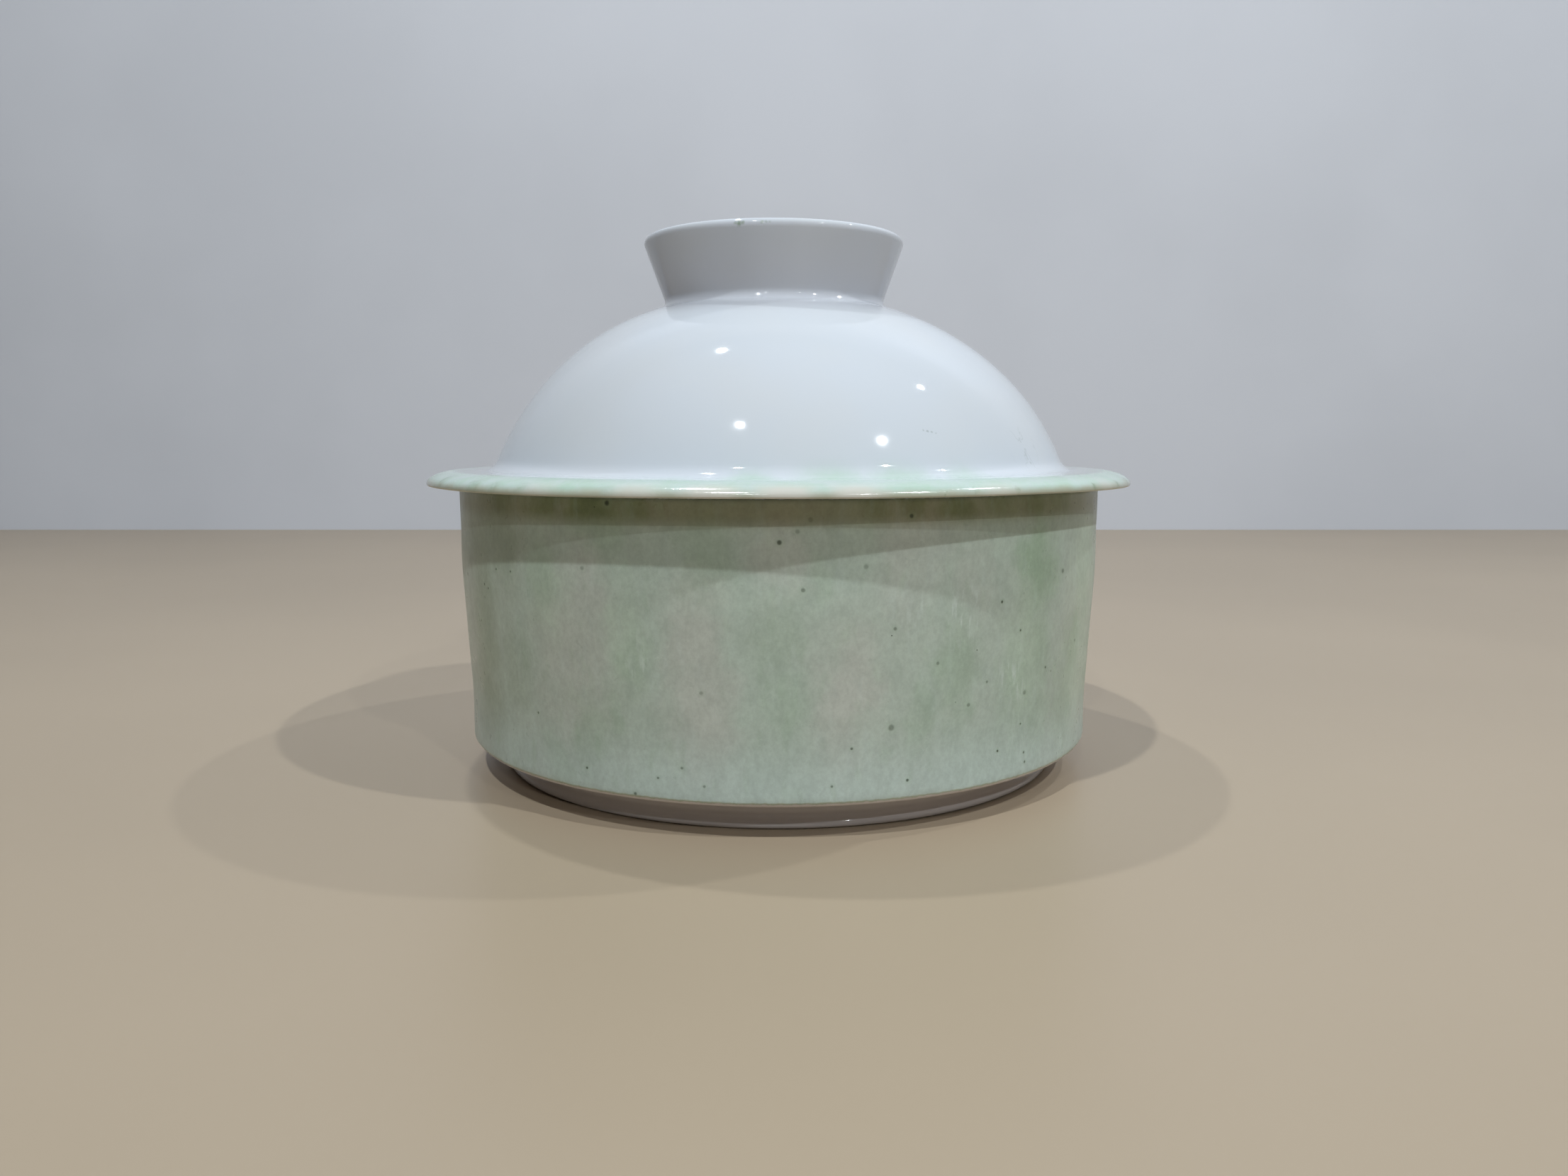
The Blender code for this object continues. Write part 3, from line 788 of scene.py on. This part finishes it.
def green_glaze():
    """Sprayed sage-green glaze over white porcelain, cloudy, streaked and specked."""
    glaze = Glaze("green_glaze_look")
    height = glaze.height()
    ragged = glaze.warped(11.0 * MM, 16.0 * MM)
    colour = cloudy_green(glaze, height, ragged)
    colour = mottled(glaze, streaked(glaze, colour, ragged))
    colour, spots = speckled(glaze, colour)

    fringe = glaze.noise(1.6 * MM, detail=3.0, rough=0.6)
    fringe = glaze.ramp(fringe, *NOISE_RANGE, -FRINGE, FRINGE)
    line = glaze.math("ADD", height, fringe)
    olive = glaze.math("MULTIPLY", glaze.ramp(line, *OLIVE_BAND, 1.0, 0.0), 0.5)
    colour = glaze.mix(olive, colour, OLIVE_LINE)
    green = glaze.math("MULTIPLY", glaze.ramp(line, *GREEN_FROM),
                       glaze.ramp(line, *GREEN_TO, 1.0, 0.0))
    green = glaze.math("MULTIPLY", green, glaze.ramp(glaze.radius(), *GREEN_OUTSIDE))
    glaze.drive("Base Color", glaze.mix(green, bare_porcelain(glaze, height), colour))

    gloss = glaze.noise(6.0 * MM, detail=3.0, rough=0.6)
    gloss = glaze.math("MULTIPLY", green, glaze.ramp(gloss, *NOISE_RANGE, *GREEN_ROUGHNESS))
    glaze.drive("Roughness", glaze.math("ADD", CLEAR_ROUGHNESS, gloss))
    peel = glaze.bump(glaze.noise(1.8 * MM), GREEN_PEEL, 0.5)
    pits = glaze.math("MULTIPLY", spots, green)
    glaze.drive("Normal", glaze.bump(pits, SPECK_PIT, 0.6, peel))
    glaze.shader.inputs["IOR"].default_value = GLAZE_IOR
    return glaze.material


def sprayed(glaze, colour, height, radius, ragged):
    """Green sprayed over the flange, in patches and fine droplets."""
    top = (FLANGE_TOP + 0.5 * MM) / MM
    table = [(azimuth, out, top, size, strength) for azimuth, out, size, strength in SPRAY_PATCHES]
    spray = glaze.math("ADD", glaze.ramp(radius, *SPRAY_RADII, 0.0, 0.90),
                       glaze.lid_patches(ragged, table))
    spray = glaze.math("MINIMUM", spray, 1.0)
    patchy = glaze.noise(9.0 * MM, detail=3.0, rough=0.6)
    spray = glaze.math("MULTIPLY", spray, glaze.ramp(patchy, 0.25, 0.7, 0.55, 1.0))
    droplets = glaze.noise(0.9 * MM, detail=3.0, rough=0.65)
    spray = glaze.math("MULTIPLY", spray, glaze.ramp(droplets, *NOISE_RANGE, 0.84, 1.0))
    spray = glaze.math("MULTIPLY", spray, glaze.ramp(radius, *SPRAY_OUTSIDE))
    spray = glaze.math("MULTIPLY", spray, glaze.ramp(height, *SPRAY_ABOVE))
    return glaze.mix(spray, colour, FLANGE_MINT)


def edged(glaze, colour, height, radius, ragged):
    """The flange's edge: thin glaze at its lower corner, bare stretches and smudges."""
    at_edge = glaze.ramp(radius, *EDGE_OUTSIDE)
    grain = glaze.ramp(glaze.noise(6.0 * MM), *NOISE_RANGE, -UNDER_GRAIN, UNDER_GRAIN)
    under = glaze.ramp(glaze.math("ADD", height, grain), *UNDER_EDGE, 0.95, 0.0)
    colour = glaze.mix(glaze.math("MULTIPLY", under, at_edge), colour, FLANGE_UNDER)
    bare = glaze.lid_patches(ragged, CREAM_PATCHES)
    bare = glaze.math("MULTIPLY", bare, glaze.ramp(height, *BARE_EDGE, 0.9, 0.0))
    colour = glaze.mix(glaze.math("MULTIPLY", bare, at_edge), colour, FLANGE_CREAM)
    smudges = glaze.lid_patches(glaze.warped(1.6 * MM, 3.5 * MM), EDGE_SMUDGES)
    grit = glaze.noise(1.1 * MM, detail=3.0, rough=0.65)
    smudges = glaze.math("MULTIPLY", smudges, glaze.ramp(grit, 0.32, 0.62, 0.30, 1.15))
    return glaze.mix(smudges, colour, SMUDGE)


def painted_grip_shade(glaze, colour, height, radius):
    """A slightly greyer white on the outer side of the ring grip: painted shade on its
    outward-leaning side.
    """
    side = glaze.ramp(height, *GRIP_FOOT)
    side = glaze.math("MULTIPLY", side, glaze.ramp(height, *GRIP_TOP, 1.0, 0.0))
    side = glaze.math("MULTIPLY", side, glaze.ramp(radius, *GRIP_OUTSIDE))
    return glaze.mix(side, colour, GRIP_SHADE_TINT, "MULTIPLY")


def marked(glaze, colour):
    """Small green and grey marks, a few fine drip lines, and fine specks."""
    rough_place = glaze.warped(1.2 * MM, 0.8 * MM)
    green_marks = glaze.lid_patches(rough_place, GREEN_MARKS, GRIP_SHIFT)
    colour = glaze.mix(green_marks, colour, SMUDGE)
    dome_marks = [mark for mark in GREY_MARKS if mark[2] < CROWN_HEIGHT / MM]
    grip_marks = [mark for mark in GREY_MARKS if mark[2] >= CROWN_HEIGHT / MM]
    marks = glaze.math("MAXIMUM", glaze.lid_patches(rough_place, dome_marks),
                       glaze.lid_patches(rough_place, grip_marks, GRIP_SHIFT))
    colour = glaze.mix(marks, colour, GREY_MARK)
    lines = glaze.noise(5.0 * MM, detail=3.0, stretch=2.2, offset=2.0)
    lines = glaze.math("ABSOLUTE", glaze.math("SUBTRACT", lines, 0.5))
    lines = glaze.ramp(lines, 0.004, 0.014, 0.28, 0.0)
    azimuth, out, up = FINE_LINES
    middle = around(azimuth, out * MM, up * MM)
    area = glaze.blob(glaze.place, middle, *FINE_LINES_AREA)
    colour = glaze.mix(glaze.math("MULTIPLY", lines, area), colour, GREY_MARK)
    specks = glaze.specks(9.0 * MM, largest=0.22 * MM, share=0.08, offset=1.0)
    return glaze.mix(glaze.math("MULTIPLY", specks, 0.5), colour, SPECK)


def white_glaze():
    """Glossy cool-white glaze with green sprayed over the flange."""
    glaze = Glaze("white_glaze_look")
    height = glaze.height()
    radius = glaze.radius()
    ragged = glaze.warped(5.0 * MM, 5.0 * MM)
    warmth = glaze.ramp(glaze.noise(30.0 * MM), *NOISE_RANGE, 0.0, 0.10)
    colour = glaze.mix(warmth, PORCELAIN, BODY)
    colour = sprayed(glaze, colour, height, radius, ragged)
    colour = edged(glaze, colour, height, radius, ragged)
    colour = painted_grip_shade(glaze, colour, height, radius)
    glaze.drive("Base Color", marked(glaze, colour))

    satin = glaze.ramp(radius, *SATIN_OUTSIDE)
    gloss = glaze.noise(8.0 * MM, detail=4.0, rough=0.6)
    gloss = glaze.ramp(gloss, *NOISE_RANGE, *WHITE_ROUGHNESS)
    rougher = glaze.math("MULTIPLY", satin, SATIN_ROUGHNESS)
    glaze.drive("Roughness", glaze.math("ADD", gloss, rougher))
    peel = glaze.bump(glaze.noise(4.0 * MM, detail=1.0), WHITE_PEEL, 0.4)
    ripple = glaze.math("MULTIPLY", glaze.noise(0.9 * MM, detail=1.0), satin)
    glaze.drive("Normal", glaze.bump(ripple, EDGE_RIPPLE, 1.0, peel))
    glaze.shader.inputs["IOR"].default_value = GLAZE_IOR
    return glaze.material


# ---- Stage, light and camera ------------------------------------------------------------------

def plain(name, colour, roughness):
    """A plain matt material with a faint unevenness."""
    finish = Glaze(name)
    tone = finish.ramp(finish.noise(0.25, detail=3.0), *NOISE_RANGE, 0.97, 1.03)
    finish.drive("Base Color", finish.mix(1.0, (*colour, 1.0), tone, "MULTIPLY"))
    finish.shader.inputs["Roughness"].default_value = roughness
    return finish.material


def sheet(name, corners, material):
    """A piece of the stage: one flat face."""
    mesh = bpy.data.meshes.new(name)
    mesh.from_pydata(corners, [], [(0, 1, 2, 3)])
    mesh.materials.append(material)
    made = bpy.data.objects.new(name, mesh)
    bpy.context.scene.collection.objects.link(made)


def make_stage():
    """A pale floor and a pale wall behind it."""
    half = STAGE_HALF_WIDTH
    front = -STAGE_FRONT
    back = BACKDROP_DISTANCE
    low = -FLOOR_DROP
    high = STAGE_HEIGHT
    floor = [(-half, front, low), (half, front, low), (half, back, low), (-half, back, low)]
    wall = [(-half, back, low), (half, back, low), (half, back, high), (-half, back, high)]
    sheet("floor", floor, plain("floor_finish", FLOOR_COLOUR, FLOOR_ROUGHNESS))
    sheet("backdrop", wall, plain("backdrop_finish", BACKDROP_COLOUR, BACKDROP_ROUGHNESS))


def make_lamps():
    """A grid of round ceiling lamps, aimed at the bowl."""
    aim = Vector((0.0, 0.0, RIM_HEIGHT))
    for row, (along, size, watts) in enumerate(LAMP_ROWS):
        for column, across in enumerate(LAMP_COLUMNS):
            data = bpy.data.lights.new(f"lamp_{row}_{column}", "AREA")
            data.shape = "DISK"
            data.size = size
            data.energy = watts[column]
            data.color = LAMP_COLOUR
            lamp = bpy.data.objects.new(data.name, data)
            lamp.location = (across * CEILING, along * CEILING, CEILING)
            lamp.rotation_mode = "QUATERNION"
            lamp.rotation_quaternion = (aim - lamp.location).to_track_quat("-Z", "Y")
            bpy.context.scene.collection.objects.link(lamp)


def make_surround():
    """The room's soft light, stronger from above, and a pale room where the camera sees it."""
    world = bpy.data.worlds.new("surround")
    world.use_nodes = True
    nodes = world.node_tree.nodes
    links = world.node_tree.links
    background = nodes["Background"]
    parts = nodes.new("ShaderNodeSeparateXYZ")
    links.new(nodes.new("ShaderNodeTexCoord").outputs["Generated"], parts.inputs[0])
    upward = nodes.new("ShaderNodeMapRange")
    upward.interpolation_type = "SMOOTHSTEP"
    upward.inputs["From Min"].default_value = SURROUND_RISE[0]
    upward.inputs["From Max"].default_value = SURROUND_RISE[1]
    upward.inputs["To Min"].default_value = SURROUND_SIDES
    upward.inputs["To Max"].default_value = SURROUND_ABOVE
    links.new(parts.outputs[2], upward.inputs["Value"])
    shown = nodes.new("ShaderNodeMix")
    links.new(nodes.new("ShaderNodeLightPath").outputs["Is Camera Ray"], shown.inputs["Factor"])
    links.new(upward.outputs[0], shown.inputs["A"])
    shown.inputs["B"].default_value = SURROUND_SEEN
    links.new(shown.outputs["Result"], background.inputs["Strength"])
    background.inputs["Color"].default_value = SURROUND_COLOUR
    bpy.context.scene.world = world


def make_camera():
    """The camera, at the photograph's viewing angle."""
    data = bpy.data.cameras.new("camera")
    data.lens = CAMERA_LENS
    data.sensor_width = SENSOR_WIDTH
    data.clip_start = 0.01
    data.clip_end = 20.0
    camera = bpy.data.objects.new("camera", data)
    camera.location = (CAMERA_SIDE, -CAMERA_DISTANCE, CAMERA_HEIGHT)
    camera.rotation_euler = (radians(90.0 - CAMERA_PITCH), 0.0, 0.0)
    bpy.context.scene.collection.objects.link(camera)
    bpy.context.scene.camera = camera
    bpy.context.scene.view_settings.view_transform = "Standard"


# ---- The object ---------------------------------------------------------------------------------

def make_object():
    """The two pieces, each standing for its CAD node and riding on its body."""
    bowl = turned("bowl_porcelain", bowl_outline(), bowl_surface, green_glaze())
    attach(bowl, "bowl")
    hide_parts("bowl")
    lid = turned("lid_porcelain", lid_outline(), lid_surface, white_glaze())
    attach(lid, "lid")
    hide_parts("lid")


make_camera()
make_object()
make_stage()
make_lamps()
make_surround()
